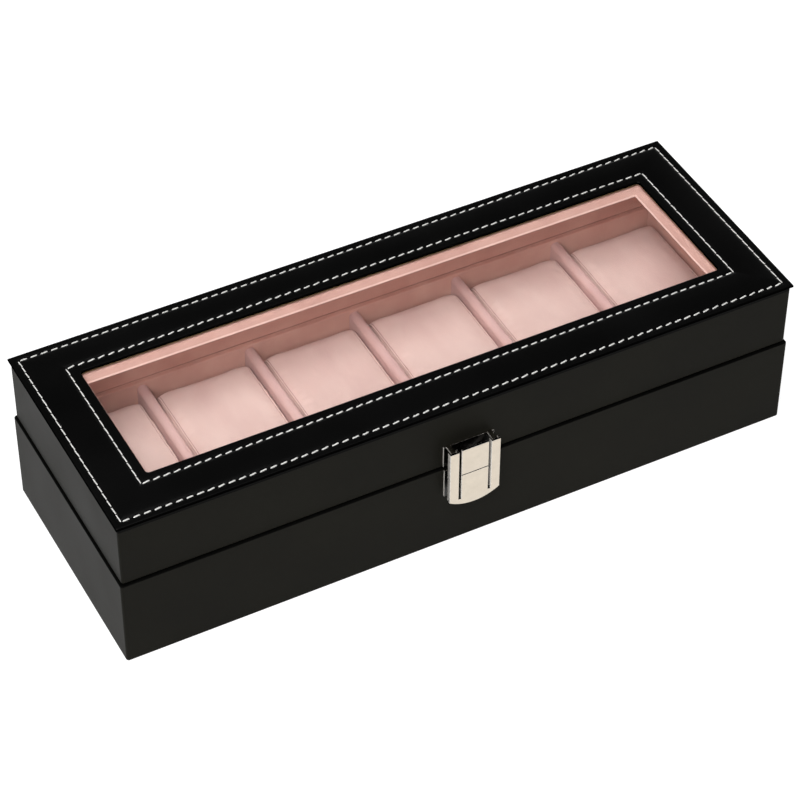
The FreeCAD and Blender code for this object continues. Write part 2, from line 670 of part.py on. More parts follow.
def hinge_leaf(name, side, lid):
    """One leaf: a plate let into the rim, its knuckles, and the stop that meets the other leaf's stop."""
    middle = hinge_middle[side]
    half = "dims.hinge_length / 2"
    reach = (f"{middle} - {half}", f"{middle} + {half}")
    plate_z = (LID_LEAF_FOOT, LID_LEAF_TOP) if lid else (BASE_LEAF_FOOT, BASE_LEAF_TOP)
    plate = block(f"{name}_plate", reach, (LEAF_Y, AXIS_Y), plate_z)
    barrel = rod(f"{name}_barrel", "x", (reach[0], AXIS_Y, AXIS_Z), "dims.hinge_length", "dims.barrel_radius")
    # The two stops' faces lie in planes through the hinge axis, half the stop angle above and below level
    lean = "(dims.stop_angle / 2 * 1deg)"
    stop = doc.addObject("Part::Box", f"{name}_stop")
    stop.Placement = FreeCAD.Placement(FreeCAD.Vector(), FreeCAD.Rotation(FreeCAD.Vector(1, 0, 0), 1))
    stop.setExpression("Placement.Rotation.Angle", lean if lid else f"-{lean}")
    stop.setExpression("Length", "dims.hinge_length")
    stop.setExpression("Width", "dims.barrel_radius + dims.stop_length")
    stop.setExpression("Height", "dims.stop_thick")
    stop.setExpression("Placement.Base.x", reach[0])
    stop.setExpression("Placement.Base.y", AXIS_Y if lid else f"{AXIS_Y} - dims.stop_thick * sin({lean})")
    stop.setExpression("Placement.Base.z", AXIS_Z if lid else f"{AXIS_Z} - dims.stop_thick * cos({lean})")
    blank = fuse(f"{name}_blank", [plate, barrel, stop])
    room = "(dims.barrel_radius + dims.knuckle_gap)"
    bore_radius = "dims.hinge_pin_radius + dims.running_clear"
    bore = rod(f"{name}_bore", "x", (reach[0], AXIS_Y, AXIS_Z), "dims.hinge_length", bore_radius)
    tools = [bore]
    if lid:
        gap = "((dims.hinge_length - dims.lid_knuckle) / 2)"
        for end, start in (("low", reach[0]), ("high", f"{reach[1]} - {gap}")):
            tools.append(rod(f"{name}_{end}_room", "x", (start, AXIS_Y, AXIS_Z), gap, room))
        tools += [hole for hole in lid_screw_holes if hole.Name.startswith(side)]
    else:
        gap = "(dims.lid_knuckle + 2 * dims.knuckle_gap)"
        start = f"{middle} - {gap} / 2"
        tools.append(rod(f"{name}_room", "x", (start, AXIS_Y, AXIS_Z), gap, room))
        tools += [hole for hole in base_screw_holes if hole.Name.startswith(side)]
    return finish(cut(name, blank, tools))


for side, sign in SIDES:
    hinge_leaf(f"{side}_hinge_base_leaf", side, False)
    hinge_leaf(f"{side}_hinge_lid_leaf", side, True)
    pin_start = (f"{hinge_middle[side]} - dims.hinge_length / 2", AXIS_Y, AXIS_Z)
    finish(rod(f"{side}_hinge_pin", "x", pin_start, "dims.hinge_length", "dims.hinge_pin_radius"))
finish(group("hinge_base_screws", base_screws))
finish(group("hinge_lid_screws", lid_screws))


def out(standoff):
    """The Y of a plane at a stand-off from the base front."""
    return f"(-{BASE_Y} - {standoff})"


def front_sketch(body, name, standoff):
    """An upright sketch that faces forwards, at a stand-off from the base front."""
    return new_sketch(body, name, "XZ_Plane", f"{BASE_Y} + {standoff}")


def side_pads(body, name, inner, width, points):
    """The same outline, seen from the side, added on both sides of the middle."""
    for side, start in (("left", f"-{inner} - {width}"), ("right", inner)):
        outline = new_sketch(body, f"{name}_{side}_outline", "YZ_Plane", start)
        polygon(outline, "corner", [(out(standoff), z) for standoff, z in points])
        pad(body, f"{name}_{side}", outline, width)


def pivot_bore(body, name):
    """The hole for the latch pin."""
    hole = new_sketch(body, f"{name}_circle", "YZ_Plane", "0")
    circle(hole, "pivot", out("dims.pivot_standoff"), PIVOT, "dims.latch_pin_radius + dims.running_clear")
    pocket_through(body, name, hole)


def latch_plate():
    """The plate on the base front, with the two lugs that hold the pin."""
    body = doc.addObject("PartDesign::Body", "latch_plate_body")
    outline = front_sketch(body, "latch_plate_outline", "0")
    rectangle(outline, "corner", both(LATCH_X), (PLATE_FOOT, PLATE_TOP))
    pad(body, "latch_plate_pad", outline, "dims.plate_thick")
    low = f"{PIVOT} - dims.lug_half"
    high = f"{PIVOT} + dims.lug_half"
    lug_end = "(dims.pivot_standoff + dims.lug_half)"
    points = (("dims.plate_thick", low), (lug_end, low), (lug_end, high), ("dims.plate_thick", high))
    side_pads(body, "plate_lug", LUG_X, "dims.lug_thick", points)
    pivot_bore(body, "plate_bore")
    return finish(cut("latch_plate", body, plate_holes + [rivet_hole]))


def latch_strike():
    """The plate on the lid front, whose two notched prongs hang into the flap's rails."""
    body = doc.addObject("PartDesign::Body", "latch_strike_body")
    outline = front_sketch(body, "strike_outline", "-dims.lid_inset")
    rectangle(outline, "corner", both(LATCH_X), (STRIKE_FOOT, STRIKE_TOP))
    pad(body, "strike_pad", outline, "dims.plate_thick")
    prong_back = f"({PRONG_FACE} - dims.prong_thick)"
    notch_back = f"({PRONG_FACE} - dims.notch_depth)"
    notch_top = f"{NIB_TOP} + dims.notch_clear"
    notch_foot = f"{NIB_FOOT} - dims.notch_clear"
    under = f"{STRIKE_TOP} - dims.plate_thick"
    points = ((STRIKE_FACE, STRIKE_TOP), (PRONG_FACE, STRIKE_TOP), (PRONG_FACE, notch_top),
              (notch_back, notch_top), (notch_back, notch_foot), (PRONG_FACE, notch_foot),
              (PRONG_FACE, PRONG_FOOT), (prong_back, PRONG_FOOT), (prong_back, under), (STRIKE_FACE, under))
    side_pads(body, "prong", f"({PRONG_MIDDLE} - dims.prong_width / 2)", "dims.prong_width", points)
    return finish(cut("latch_strike", body, strike_holes))


def latch_flap():
    """The rocking front: two folded rails and a creased tongue on a band with a curved foot."""
    body = doc.addObject("PartDesign::Body", "latch_flap")
    band = front_sketch(body, "flap_band", SHEET_BACK)
    half = number(LATCH_X)
    side_foot = number(FLAP_SIDE_FOOT)
    top = number(SLOT_FOOT)
    corners = [FreeCAD.Vector(x, z, 0) for x, z in
               ((half, side_foot), (half, top), (-half, top), (-half, side_foot))]
    for start, end in zip(corners, corners[1:]):
        band.addGeometry(Part.LineSegment(start, end))
    lowest = FreeCAD.Vector(0, number(FLAP_FOOT), 0)
    band.addGeometry(Part.Arc(corners[3], lowest, corners[0]))
    for line in range(2):
        band.addConstraint(Sketcher.Constraint("Coincident", line, 2, line + 1, 1))
    band.addConstraint(Sketcher.Constraint("Coincident", 2, 2, 3, 1))
    band.addConstraint(Sketcher.Constraint("Coincident", 3, 2, 0, 1))
    ends = (("right_foot", 0, 1, LATCH_X, FLAP_SIDE_FOOT), ("right_top", 0, 2, LATCH_X, SLOT_FOOT),
            ("left_top", 1, 2, f"-{LATCH_X}", SLOT_FOOT), ("left_foot", 2, 2, f"-{LATCH_X}", FLAP_SIDE_FOOT))
    for name, line, end, x, z in ends:
        pin_point(band, name, line, end, x, z)
    bow = f"(({LATCH_X} ^ 2 + dims.flap_sag ^ 2) / (2 * dims.flap_sag))"
    index = band.addConstraint(Sketcher.Constraint("Radius", 3, number(bow)))
    band.renameConstraint(index, "bow")
    band.setExpression("Constraints.bow", bow)
    pad(body, "flap_band_pad", band, "dims.flap_thick")

    rails = new_sketch(body, "flap_rails", "XY_Plane", SLOT_FOOT)
    front = out("dims.flap_standoff")
    inside = out(SHEET_BACK)
    back = out(RAIL_BACK)
    outer_wall = f"({LATCH_X} - dims.rail_wall)"
    inner_wall = f"({RAIL_INNER} + dims.rail_wall)"
    profile = ((LATCH_X, front), (LATCH_X, back), (outer_wall, back), (outer_wall, inside),
               (inner_wall, inside), (inner_wall, back), (RAIL_INNER, back), (RAIL_INNER, front))
    polygon(rails, "right", profile)
    polygon(rails, "left", [(f"-{x}", y) for x, y in profile])
    pad(body, "flap_rails_pad", rails, f"{FLAP_TOP} - {SLOT_FOOT}")

    tongue = new_sketch(body, "flap_tongue", "YZ_Plane", "0")
    face = "dims.flap_standoff"
    tip = f"({FLAP_TOP} + dims.tongue_rise)"
    crease_half = "dims.crease_width / 2"
    points = ((face, SLOT_FOOT), (face, f"{CREASE} - {crease_half}"),
              (f"({face} - dims.crease_depth)", CREASE), (face, f"{CREASE} + {crease_half}"), (face, tip),
              (SHEET_BACK, tip), (SHEET_BACK, SLOT_FOOT))
    polygon(tongue, "corner", [(out(standoff), z) for standoff, z in points])
    pad(body, "flap_tongue_pad", tongue, f"2 * {TONGUE_X}", symmetric=True)

    low = f"{PIVOT} - dims.lug_half"
    high = f"{PIVOT} + dims.lug_half"
    lug_end = "(dims.pivot_standoff - dims.lug_half)"
    side_pads(body, "flap_lug", RAIL_INNER, "dims.rail_wall",
              ((RAIL_BACK, low), (lug_end, low), (lug_end, high), (RAIL_BACK, high)))
    nibs = front_sketch(body, "flap_nibs", NIB_TIP)
    for side, sign in SIDES:
        inner = f"({PRONG_MIDDLE} - dims.nib_width / 2)"
        outer = f"({PRONG_MIDDLE} + dims.nib_width / 2)"
        rectangle(nibs, side, side_span(sign, inner, outer), (NIB_FOOT, NIB_TOP))
    pad(body, "flap_nibs_pad", nibs, "dims.nib_length")
    pivot_bore(body, "flap_bore")
    return finish(body)


def latch_spring():
    """A bent strip, riveted to the plate, whose tip presses the foot of the tongue outwards."""
    body = doc.addObject("PartDesign::Body", "latch_spring_body")
    strip = new_sketch(body, "spring_side", "YZ_Plane", "0")
    top = f"({RIM} - dims.spring_top_drop)"
    bend = f"({RIM} - dims.spring_bend_drop)"
    tip_z = f"({RIM} - dims.spring_tip_drop)"
    face = "(dims.plate_thick + dims.spring_thick)"
    tip = f"({SHEET_BACK} - dims.spring_clear)"
    points = (("dims.plate_thick", top), (face, top), (face, bend), (tip, tip_z),
              (f"({tip} - dims.spring_thick)", f"{tip_z} - dims.spring_thick"), ("dims.plate_thick", bend))
    polygon(strip, "corner", [(out(standoff), z) for standoff, z in points])
    pad(body, "spring_pad", strip, "dims.spring_width", symmetric=True)
    return finish(cut("latch_spring", body, [rivet_hole]))


latch_plate()
latch_strike()
latch_flap()
latch_spring()
pin_half = f"({LUG_X} + dims.lug_thick)"
pin_start = (f"-{pin_half}", out("dims.pivot_standoff"), PIVOT)
finish(rod("latch_pin", "x", pin_start, f"2 * {pin_half}", "dims.latch_pin_radius"))
plate_nails = [nail(f"{side}_plate_nail", x, PLATE_NAIL_Z, "dims.plate_thick", "dims.nail_length")
               for side, x in PLATE_NAILS]
rivet = nail("spring_rivet", "0", RIVET_Z, "(dims.plate_thick + dims.spring_thick)", "dims.nail_length")
finish(group("latch_plate_nails", plate_nails + [rivet]))
strike_nails = [nail(f"{side}_strike_nail", x, STRIKE_NAIL_Z, STRIKE_FACE, "dims.nail_length")
                for side, x in PLATE_NAILS]
finish(group("latch_strike_nails", strike_nails))

doc.recompute()
for item in doc.Objects:
    if "Invalid" in item.State or "Error" in item.State:
        raise RuntimeError(f"{item.Label} failed: {item.State}")
for node in nodes:
    if node.Shape.isNull() or not node.Shape.isValid() or not node.Shape.Solids:
        raise RuntimeError(f"{node.Label} has no valid solid")

os.makedirs("parts", exist_ok=True)
for node in nodes:
    node.Shape.exportStep(f"parts/{node.Label}.step")
print(f"{len(nodes)} pieces written")
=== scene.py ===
"""Looks of the watch box: leather, stitching, velvet, cushions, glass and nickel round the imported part."""
import json
import math
import random

import bmesh
import bpy
from mathutils import Matrix, Vector, noise


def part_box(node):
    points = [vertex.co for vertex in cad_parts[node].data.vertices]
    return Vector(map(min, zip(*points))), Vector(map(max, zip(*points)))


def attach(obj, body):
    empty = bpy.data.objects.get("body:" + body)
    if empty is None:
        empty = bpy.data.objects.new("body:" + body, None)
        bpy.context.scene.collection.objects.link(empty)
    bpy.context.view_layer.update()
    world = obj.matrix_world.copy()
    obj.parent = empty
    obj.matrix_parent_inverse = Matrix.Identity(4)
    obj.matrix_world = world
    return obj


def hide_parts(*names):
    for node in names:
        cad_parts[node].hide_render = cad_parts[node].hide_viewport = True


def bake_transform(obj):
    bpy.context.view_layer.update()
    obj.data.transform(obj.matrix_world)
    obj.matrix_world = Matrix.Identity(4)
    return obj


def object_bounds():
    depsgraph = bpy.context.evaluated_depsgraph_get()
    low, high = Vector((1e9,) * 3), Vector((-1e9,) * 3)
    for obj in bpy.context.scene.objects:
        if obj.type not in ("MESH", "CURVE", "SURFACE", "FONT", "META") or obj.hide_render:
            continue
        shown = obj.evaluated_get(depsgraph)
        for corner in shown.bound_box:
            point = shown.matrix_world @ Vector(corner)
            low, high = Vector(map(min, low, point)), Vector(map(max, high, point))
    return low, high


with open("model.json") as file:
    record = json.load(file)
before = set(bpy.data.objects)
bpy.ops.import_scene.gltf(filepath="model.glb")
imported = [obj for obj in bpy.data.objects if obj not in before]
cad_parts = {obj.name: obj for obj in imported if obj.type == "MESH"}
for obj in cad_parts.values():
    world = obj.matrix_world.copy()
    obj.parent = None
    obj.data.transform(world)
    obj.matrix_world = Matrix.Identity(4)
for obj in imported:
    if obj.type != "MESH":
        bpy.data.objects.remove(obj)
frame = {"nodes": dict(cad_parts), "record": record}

cad_low, cad_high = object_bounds()
MM = 0.001
TOUCH = 0.01 * MM


def linear(red, green, blue):
    """A colour written in screen values from 0 to 255, as the shader's linear values."""
    screen = [value / 255 for value in (red, green, blue)]
    return tuple(v / 12.92 if v <= 0.04 else ((v + 0.055) / 1.055) ** 2.4 for v in screen)


# Materials

TEXTURE_SPAN = (0.3, 0.7)


def new_look(name, colour, **sockets):
    """A material and its Principled shader, with sockets set by their names."""
    look = bpy.data.materials.new(name)
    look.use_nodes = True
    shader = look.node_tree.nodes["Principled BSDF"]
    shader.inputs["Base Color"].default_value = (*colour, 1)
    for socket, value in sockets.items():
        shader.inputs[socket.replace("_", " ")].default_value = value
    return look, shader


def add_node(look, kind, **settings):
    """A new node of a material, with properties and input sockets set by their names."""
    made = look.node_tree.nodes.new(kind)
    for name, value in settings.items():
        if hasattr(made, name):
            setattr(made, name, value)
        else:
            made.inputs[name.replace("_", " ")].default_value = value
    return made


def join(look, start, end):
    """Link an output socket to an input socket."""
    look.node_tree.links.new(start, end)


def texture(look, kind, cell, stretch=(1, 1, 1), **settings):
    """A texture whose features are about one cell across, in metres, on the piece's own coordinates."""
    place = add_node(look, "ShaderNodeTexCoord")
    scale = add_node(look, "ShaderNodeMapping")
    scale.inputs["Scale"].default_value = [1 / (cell * share) for share in stretch]
    made = add_node(look, kind, Scale=1.0, **settings)
    join(look, place.outputs["Object"], scale.inputs["Vector"])
    join(look, scale.outputs["Vector"], made.inputs["Vector"])
    return made


def remap(look, source, low, high):
    """A texture value spread between two numbers."""
    start, end = TEXTURE_SPAN
    made = add_node(look, "ShaderNodeMapRange", From_Min=start, From_Max=end, To_Min=low, To_Max=high)
    join(look, source, made.inputs["Value"])
    return made.outputs["Result"]


def tint(look, shader, source, dark, light):
    """Base colour that wanders between two tones with a texture value."""
    ramp = add_node(look, "ShaderNodeValToRGB")
    for element, position, colour in zip(ramp.color_ramp.elements, TEXTURE_SPAN, (dark, light)):
        element.position = position
        element.color = (*colour, 1)
    join(look, source, ramp.inputs["Fac"])
    join(look, ramp.outputs["Color"], shader.inputs["Base Color"])


def relief(look, shader, source, depth, under=None):
    """Bump of a real depth from a texture value, on top of an earlier bump if one is given."""
    bump = add_node(look, "ShaderNodeBump", Strength=1.0, Distance=depth)
    join(look, source, bump.inputs["Height"])
    if under:
        join(look, under.outputs["Normal"], bump.inputs["Normal"])
    join(look, bump.outputs["Normal"], shader.inputs["Normal"])
    return bump


def leather_look(name, dark, light, shine, rough, grain_cell, grain_depth):
    """Fine-grained leather: pebbles with soft creases, and a slow change of sheen across the hide."""
    look, shader = new_look(name, dark, Specular_IOR_Level=shine)
    pebbles = texture(look, "ShaderNodeTexVoronoi", grain_cell, feature="SMOOTH_F1", Smoothness=0.6)
    creases = texture(look, "ShaderNodeTexNoise", grain_cell * 5, Detail=6.0, Roughness=0.6)
    hide = texture(look, "ShaderNodeTexNoise", 45 * MM, Detail=2.0)
    tint(look, shader, hide.outputs["Fac"], dark, light)
    join(look, remap(look, hide.outputs["Fac"], rough - 0.04, rough + 0.04), shader.inputs["Roughness"])
    first = relief(look, shader, pebbles.outputs["Distance"], grain_depth)
    relief(look, shader, creases.outputs["Fac"], grain_depth * 2, under=first)
    return look


def velvet_look(name, dark, light, sheen):
    """Short-pile velvet: a brushed nap in soft patches, a fine pile and a pale sheen at grazing angles."""
    look, shader = new_look(name, light, Roughness=0.85, Specular_IOR_Level=0.15, Sheen_Weight=sheen,
                            Sheen_Roughness=0.45)
    shader.inputs["Sheen Tint"].default_value = (1.0, 0.9, 0.87, 1)
    nap = texture(look, "ShaderNodeTexNoise", 16 * MM, (1, 2.2, 1), Detail=4.0, Roughness=0.55)
    pile = texture(look, "ShaderNodeTexNoise", 0.4 * MM, Detail=3.0)
    tint(look, shader, nap.outputs["Fac"], dark, light)
    first = relief(look, shader, nap.outputs["Fac"], 0.25 * MM)
    relief(look, shader, pile.outputs["Fac"], 0.006 * MM, under=first)
    return look


def metal_look(name, colour, rough, streak, metallic=1.0):
    """Plated metal with faint polishing marks along one way and a slightly uneven shine."""
    look, shader = new_look(name, colour, Metallic=metallic)
    marks = texture(look, "ShaderNodeTexNoise", 0.25 * MM, streak, Detail=3.0)
    cloud = texture(look, "ShaderNodeTexNoise", 5 * MM, Detail=2.0)
    join(look, remap(look, cloud.outputs["Fac"], rough * 0.8, rough * 1.3), shader.inputs["Roughness"])
    tint(look, shader, cloud.outputs["Fac"], [c * 0.93 for c in colour], colour)
    relief(look, shader, marks.outputs["Fac"], 0.004 * MM)
    return look


def thread_look():
    """White twisted thread with darker creases between its plies."""
    pale = linear(250, 249, 246)
    look, shader = new_look("thread", pale, Roughness=0.6, Specular_IOR_Level=0.3, Sheen_Weight=0.2)
    plies = texture(look, "ShaderNodeTexNoise", 0.5 * MM, Detail=3.0)
    tint(look, shader, plies.outputs["Fac"], linear(238, 237, 232), pale)
    relief(look, shader, plies.outputs["Fac"], 0.1 * MM)
    return look


def glass_look():
    """A clear pane with a trace of unevenness in its polish."""
    look, shader = new_look("glass", (0.985, 0.99, 0.985), Roughness=0.0, IOR=1.46, Transmission_Weight=1.0)
    ripple = texture(look, "ShaderNodeTexNoise", 60 * MM, Detail=1.0)
    relief(look, shader, ripple.outputs["Fac"], 0.01 * MM)
    return look


def board_look():
    """Pressed fibreboard."""
    look, shader = new_look("board", linear(176, 142, 104), Roughness=0.8, Specular_IOR_Level=0.3)
    fibres = texture(look, "ShaderNodeTexNoise", 0.7 * MM, (1, 4, 1), Detail=6.0)
    tint(look, shader, fibres.outputs["Fac"], linear(140, 106, 72), linear(190, 156, 118))
    relief(look, shader, fibres.outputs["Fac"], 0.1 * MM)
    return look


def felt_look():
    """Black pressed felt with loose fibres."""
    look, shader = new_look("felt", linear(30, 30, 30), Roughness=0.95, Sheen_Weight=0.3,
                            Specular_IOR_Level=0.1)
    fibres = texture(look, "ShaderNodeTexNoise", 0.6 * MM, Detail=6.0, Roughness=0.7)
    tint(look, shader, fibres.outputs["Fac"], linear(18, 18, 18), linear(46, 46, 45))
    relief(look, shader, fibres.outputs["Fac"], 0.2 * MM)
    return look


GRAIN_CELL = 0.55 * MM
PANEL_GRAIN_CELL = 0.7 * MM
GRAIN_DEPTH = 0.012 * MM
UPRIGHT_MARKS = (1, 1, 12)
LOOKS = {
    "leather": leather_look("leather", linear(30, 29, 25), linear(35, 34, 29), 0.03, 0.45, GRAIN_CELL,
                            GRAIN_DEPTH),
    "panel_leather": leather_look("panel_leather", linear(4, 4, 4), linear(7, 7, 7), 0.1, 0.36,
                                  PANEL_GRAIN_CELL, GRAIN_DEPTH),
    "felt": felt_look(),
    "thread": thread_look(),
    "glass": glass_look(),
    "cushion_velvet": velvet_look("cushion_velvet", linear(211, 178, 171), linear(224, 195, 187), 0.25),
    # The lining velvet is deeper and redder than the cushion velvet: painted shade, for the saturated shade
    # between the walls.
    "lining_velvet": velvet_look("lining_velvet", linear(211, 161, 147), linear(223, 177, 163), 0.2),
    "board": board_look(),
    "nickel": metal_look("nickel", linear(211, 200, 184), 0.16, UPRIGHT_MARKS),
    "spring_steel": metal_look("spring_steel", linear(188, 188, 190), 0.25, (1, 1, 8)),
    "hinge_steel": metal_look("hinge_steel", linear(214, 210, 202), 0.22, (8, 1, 1)),
}
# Copies of the nickel that paint light on the latch: a dark one is painted shade, a bright one and a
# half-metal edge one are painted highlights.
PAINTED_SHADE_NICKEL = metal_look("painted_shade_nickel", linear(30, 28, 26), 0.25, UPRIGHT_MARKS)
PAINTED_HIGHLIGHT_NICKEL = metal_look("painted_highlight_nickel", linear(246, 241, 233), 0.12, UPRIGHT_MARKS)
EDGE_HIGHLIGHT_NICKEL = metal_look("edge_highlight_nickel", linear(246, 241, 233), 0.3, UPRIGHT_MARKS, metallic=0.45)
# The trim velvet is a darker copy of the lining velvet, painted shade under the panel's edge; the fold velvet
# is a lighter copy, a painted highlight on the trim's lower arris.
SHADED_TRIM_VELVET = velvet_look("shaded_trim_velvet", linear(190, 146, 136), linear(204, 162, 151), 0.15)
FOLD_HIGHLIGHT_VELVET = velvet_look("fold_highlight_velvet", linear(216, 178, 168), linear(228, 192, 182), 0.3)
SEAM_VELVET = velvet_look("seam_velvet", linear(148, 106, 100), linear(164, 121, 114), 0.1)
# Leather painted black as shade: in the lid and base seam, and as the panel's shadow along the lid's top.
PAINTED_SHADE_LEATHER = leather_look("painted_shade_leather", linear(7, 7, 6), linear(10, 10, 9), 0.03, 0.5, GRAIN_CELL,
                           GRAIN_DEPTH)
EDGE_LEATHER = leather_look("edge_leather", linear(4, 4, 4), linear(7, 7, 7), 0.0, 0.85, PANEL_GRAIN_CELL,
                            GRAIN_DEPTH)
DIVIDER_VELVET = velvet_look("divider_velvet", linear(206, 168, 164), linear(219, 183, 177), 0.2)
# The latch's nails and pin take the nickel painted dark as shade.
OWN_LOOKS = {"latch_strike_nails": PAINTED_SHADE_NICKEL, "latch_plate_nails": PAINTED_SHADE_NICKEL, "latch_pin": PAINTED_SHADE_NICKEL}
OWN_LOOKS.update({f"divider_{index}": DIVIDER_VELVET for index in range(1, 6)})
node_slot = {}
for name, node in frame["nodes"].items():
    node_slot[name] = node.material_slots[0].material.name
    node.material_slots[0].material = OWN_LOOKS.get(name, LOOKS[node_slot[name]])


# Pieces that stand for CAD nodes

def body_of(node):
    """The body that a CAD node belongs to."""
    bodies = frame["record"]["behaviour"]["bodies"]
    return next(body for body, members in bodies.items() if node in members)


def stand_in(name, mesh, node):
    """An object that rides with a CAD node's body and stands for the node, which it hides."""
    piece = bpy.data.objects.new(name, mesh)
    bpy.context.scene.collection.objects.link(piece)
    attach(piece, body_of(node))
    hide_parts(node)
    return piece


def show(name, form, node, smooth=True):
    """Turn a bmesh into an object that stands for a CAD node."""
    mesh = bpy.data.meshes.new(name)
    bmesh.ops.recalc_face_normals(form, faces=form.faces)
    form.to_mesh(mesh)
    form.free()
    for face in mesh.polygons:
        face.use_smooth = smooth
    mesh.materials.append(LOOKS[node_slot[node]])
    return stand_in(name, mesh, node)


RIM_FACING = 0.3


def paint_seam_shade(node):
    """A copy of a leather node whose rim, where it faces up into the seam, is painted black as the seam's
    shade.
    """
    mesh = frame["nodes"][node].data.copy()
    mesh.materials.append(PAINTED_SHADE_LEATHER)
    for face in mesh.polygons:
        face.material_index = int(face.normal.z > RIM_FACING)
    return stand_in(f"{node}_shade_painted", mesh, node)


def spring():
    """A copy of the latch spring, riveted at its root, shown in place of the hidden CAD node."""
    piece = bpy.data.objects.new("latch_spring_bent", frame["nodes"]["latch_spring"].data.copy())
    bpy.context.scene.collection.objects.link(piece)
    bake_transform(piece)
    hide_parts("latch_spring")


SHADE_STRIP = 2.0 * MM


def paint_panel_shadow(node):
    """A copy of a leather node with a black strip of painted shadow along its top, under the panel's edge."""
    form = bmesh.new()
    form.from_mesh(frame["nodes"][node].data)
    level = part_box(node)[1].z - SHADE_STRIP
    bmesh.ops.bisect_plane(form, geom=[*form.verts, *form.edges, *form.faces], plane_co=(0, 0, level),
                           plane_no=(0, 0, 1))
    for face in form.faces:
        face.material_index = int(face.calc_center_median().z > level)
    piece = show(f"{node}_shade_painted", form, node, smooth=False)
    piece.data.materials.append(PAINTED_SHADE_LEATHER)
    return piece


FRONT_FACING = -0.9
LEFT_FACING = -0.9
UP_FACING = 0.9
CREASE_FACING = 0.5
CREASE_ZONE = (0.35, 0.8)
SHARP = math.radians(60)
BEVEL_STEPS = 3
BEVEL_ANGLE = math.radians(40)
FLAT_ANGLE = math.radians(0.5)
WELD = 0.0005 * MM


def round_front(form, width):
    """Round the sharp edges of a sheet's front face."""
    front = min(vert.co.y for vert in form.verts) + TOUCH
    edges = [edge for edge in form.edges
             if max(vert.co.y for vert in edge.verts) < front and edge.calc_face_angle(0) > SHARP]
    bmesh.ops.bevel(form, geom=edges, offset=width, segments=BEVEL_STEPS, profile=0.5, affect="EDGES",
                    clamp_overlap=True)


def dress(piece, rest, front, picked, pick):
    """One look for a latch sheet's front, one for the other faces that a test picks, and one for the rest."""
    piece.data.materials[0] = rest
    piece.data.materials.append(front)
    piece.data.materials.append(picked)
    for face in piece.data.polygons:
        face.material_index = 1 if face.normal.y < FRONT_FACING else 2 * int(pick(face))


def in_flap_shade(face):
    """Whether a face of the latch flap looks up or lies in its crease, where it takes painted shade."""
    low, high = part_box("latch_flap")
    rise = (face.center.z - low.z) / (high.z - low.z)
    crease = CREASE_ZONE[0] < rise < CREASE_ZONE[1] and abs(face.normal.z) > CREASE_FACING
    return crease or face.normal.z > UP_FACING


def on_left_edge(face):
    """Whether a face of a latch sheet is on its left edge, which takes a painted highlight."""
    return face.normal.x < LEFT_FACING


def soften(node, width, raised=0, front_round=0):
    """A copy of a CAD node's mesh with rounded edges and, where given, a raised top or a rounder front."""
    form = bmesh.new()
    form.from_mesh(frame["nodes"][node].data)
    bmesh.ops.remove_doubles(form, verts=form.verts, dist=WELD)
    bmesh.ops.dissolve_limit(form, angle_limit=FLAT_ANGLE, verts=form.verts, edges=form.edges)
    if front_round:
        round_front(form, front_round)
    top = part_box(node)[1].z
    for vert in form.verts:
        if vert.co.z > top - raised:
            vert.co.z += raised
    piece = show(f"{node}_dressed", form, node)
    bevel = piece.modifiers.new("edges", "BEVEL")
    bevel.width = width
    bevel.segments = BEVEL_STEPS
    bevel.material = 0
    bevel.limit_method = "ANGLE"
    bevel.angle_limit = BEVEL_ANGLE
    bevel.use_clamp_overlap = True
    bevel.harden_normals = True
    return piece


def ring_faces(form, rings):
    """Quads between closed rings of the same number of points."""
    for first, second in zip(rings, rings[1:]):
        for index in range(len(first)):
            after = (index + 1) % len(first)
            form.faces.new((first[index], first[after], second[after], second[index]))


def rectangle_loop(half_x, half_y, count_x, count_y):
    """Points round a rectangle, with a point on each corner."""
    points = [(-half_x + 2 * half_x * i / count_x, -half_y) for i in range(count_x)]
    points += [(half_x, -half_y + 2 * half_y * i / count_y) for i in range(count_y)]
    points += [(half_x - 2 * half_x * i / count_x, half_y) for i in range(count_x)]
    points += [(-half_x, half_y - 2 * half_y * i / count_y) for i in range(count_y)]
    return points


# Stitched leather panel

STITCH_PITCH = 4.4 * MM
ROW_WIDTH = 0.8 * MM
THREAD_WIDTH = 0.7 * MM
panel_low, panel_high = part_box("top_panel")
PANEL_HALF = Vector((panel_high.x, panel_high.y))
WINDOW_BORDER = 22.8 * MM
WINDOW_HALF = PANEL_HALF - Vector((WINDOW_BORDER, WINDOW_BORDER))
ROWS = {}
for row in ("outer_stitching", "inner_stitching"):
    row_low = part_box(row)[0]
    ROWS[row] = Vector((-row_low.x - ROW_WIDTH / 2, -row_low.y - ROW_WIDTH / 2))
ROW_INSETS = [PANEL_HALF.x - half.x for half in ROWS.values()]
WINDOW_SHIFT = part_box("inner_stitching")[0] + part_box("inner_stitching")[1]


def fit_window(form):
    """Move a form, drawn evenly about the middle, to the window's true right and back edges."""
    for axis in range(2):
        rows = [ROWS["inner_stitching"][axis], ROWS["outer_stitching"][axis]]
        drawn = [0, WINDOW_HALF[axis], *rows]
        true = [0, drawn[1] + WINDOW_SHIFT[axis], drawn[2] + WINDOW_SHIFT[axis], drawn[3]]
        for vert in form.verts:
            place = vert.co[axis]
            for index in range(3):
                if drawn[index] < place <= drawn[index + 1]:
                    share = (place - drawn[index]) / (drawn[index + 1] - drawn[index])
                    vert.co[axis] = true[index] + share * (true[index + 1] - true[index])


EDGE_FACING = 0.8
PANEL_ROLL = 0.5 * MM
PANEL_CROWN = 0.5 * MM
GROOVE_DEPTH = 0.3 * MM
GROOVE_WIDTH = 0.75 * MM
PUCKER_DEPTH = 0.14 * MM
HIDE_WAVE = 0.05 * MM
HIDE_CELL = 14 * MM
CROWN_POWER = 0.7
WINDOW_ROUND = 1.6 * MM
PANEL_STEP = 0.9 * MM
RING_STEP = 0.55 * MM
ROLL_STEPS = 5


